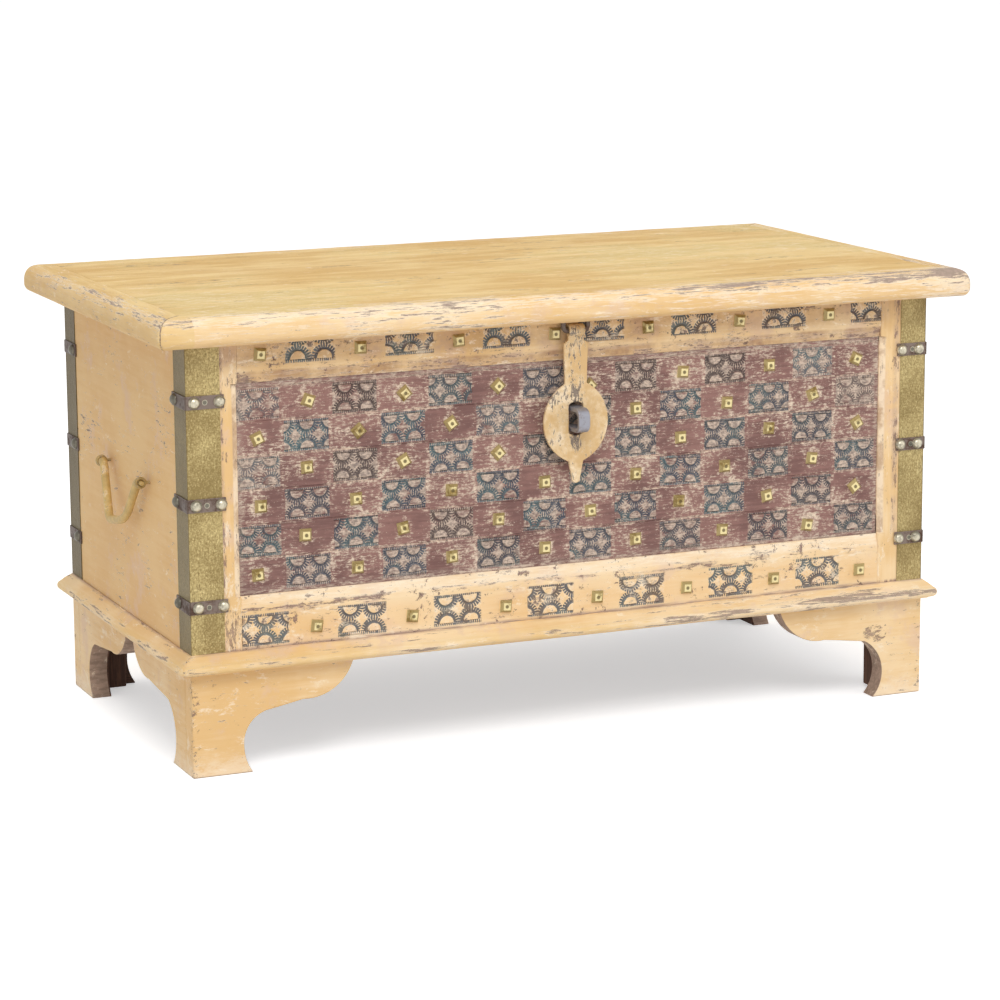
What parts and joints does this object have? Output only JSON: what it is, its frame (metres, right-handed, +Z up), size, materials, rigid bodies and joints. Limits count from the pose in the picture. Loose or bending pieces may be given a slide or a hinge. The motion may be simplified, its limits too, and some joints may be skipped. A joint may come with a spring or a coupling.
{
  "type": "wooden trunk",
  "caption": "Painted wooden trunk on bracket feet with a hinged lid, carved and studded framed front, brass corners, iron bands, a hasp over a staple and swinging carrying handles.",
  "frame": {"origin": "on the floor under the middle of the trunk", "axes": "+X along the trunk to its right as seen from the front, +Z up, the front faces -Y"},
  "size_m": [1, 0.534, 0.517],
  "materials": {
    "painted_wood": "worn yellow paint over wood, scuffed to cream and purple-brown on the edges",
    "carved_panel": "brown stain rubbed to cream, with blue-grey in the carved grooves",
    "bare_wood": "bare dark brown wood",
    "corner_brass": "dull stippled brass sheet",
    "stud_brass": "worn brass studs",
    "band_iron": "dark rusted iron strap",
    "rivet_metal": "pale worn domed rivets",
    "painted_iron": "yellow paint, chipped to dark iron",
    "dark_iron": "grey hand-forged iron",
    "hinge_steel": "dull steel hinge"
  },
  "bodies": {
    "carcass": {"back_left_foot_face": "painted_wood", "back_left_foot_side": "painted_wood", "back_plank_lower": "painted_wood", "back_plank_upper": "painted_wood", "back_right_foot_face": "painted_wood", "back_right_foot_side": "painted_wood", "band_rivets": "rivet_metal", "base_moulding_back": "painted_wood", "base_moulding_front": "painted_wood", "base_moulding_left": "painted_wood", "base_moulding_right": "painted_wood", "bottom_cleats": "bare_wood", "bottom_plank_back": "bare_wood", "bottom_plank_front": "bare_wood", "bottom_plank_middle": "bare_wood", "brass_corner_back_left": "corner_brass", "brass_corner_back_right": "corner_brass", "brass_corner_front_left": "corner_brass", "brass_corner_front_right": "corner_brass", "corner_bands_back_left": "band_iron", "corner_bands_back_right": "band_iron", "corner_bands_front_left": "band_iron", "corner_bands_front_right": "band_iron", "foot_corner_blocks": "bare_wood", "front_bottom_rail": "painted_wood", "front_left_foot_face": "painted_wood", "front_left_foot_side": "painted_wood", "front_left_stile": "painted_wood", "front_panel": "carved_panel", "front_right_foot_face": "painted_wood", "front_right_foot_side": "painted_wood", "front_right_stile": "painted_wood", "front_staple": "dark_iron", "front_top_rail": "painted_wood", "handle_eyes": "dark_iron", "hinge_lower_leaf_left": "hinge_steel", "hinge_lower_leaf_right": "hinge_steel", "hinge_pins": "hinge_steel", "hinge_screws_body": "hinge_steel", "left_side_board": "painted_wood", "panel_studs": "stud_brass", "rail_studs": "stud_brass", "right_side_board": "painted_wood"},
    "lid": {"lid_batten_left": "bare_wood", "lid_batten_right": "bare_wood", "lid_edge_back": "painted_wood", "lid_edge_front": "painted_wood", "lid_edge_left": "painted_wood", "lid_edge_right": "painted_wood", "lid_plank_back": "painted_wood", "lid_plank_front": "painted_wood", "lid_plank_middle": "painted_wood", "hinge_upper_leaf_left": "hinge_steel", "hinge_upper_leaf_right": "hinge_steel", "hinge_screws_lid": "hinge_steel", "hasp_hanger": "dark_iron"},
    "hasp": {"hasp": "painted_iron"},
    "left_handle": {"left_handle": "painted_iron"},
    "right_handle": {"right_handle": "painted_iron"}
  },
  "joints": [
    {"name": "lid_hinge", "type": "hinge", "parent": "carcass", "child": "lid", "pos_m": [0, 0.2345, 0.484], "axis": [-1, 0, 0], "range_deg": [0, 100]},
    {"name": "hasp_swing", "type": "hinge", "parent": "lid", "child": "hasp", "pos_m": [0, -0.2365, 0.472], "axis": [-1, 0, 0], "range_deg": [0, 105]},
    {"name": "left_handle_swing", "type": "hinge", "parent": "carcass", "child": "left_handle", "pos_m": [-0.47, -0.016, 0.3095], "axis": [0, 1, 0], "range_deg": [-5, 170]},
    {"name": "right_handle_swing", "type": "hinge", "parent": "carcass", "child": "right_handle", "pos_m": [0.47, -0.016, 0.3095], "axis": [0, -1, 0], "range_deg": [-5, 170]}
  ]
}
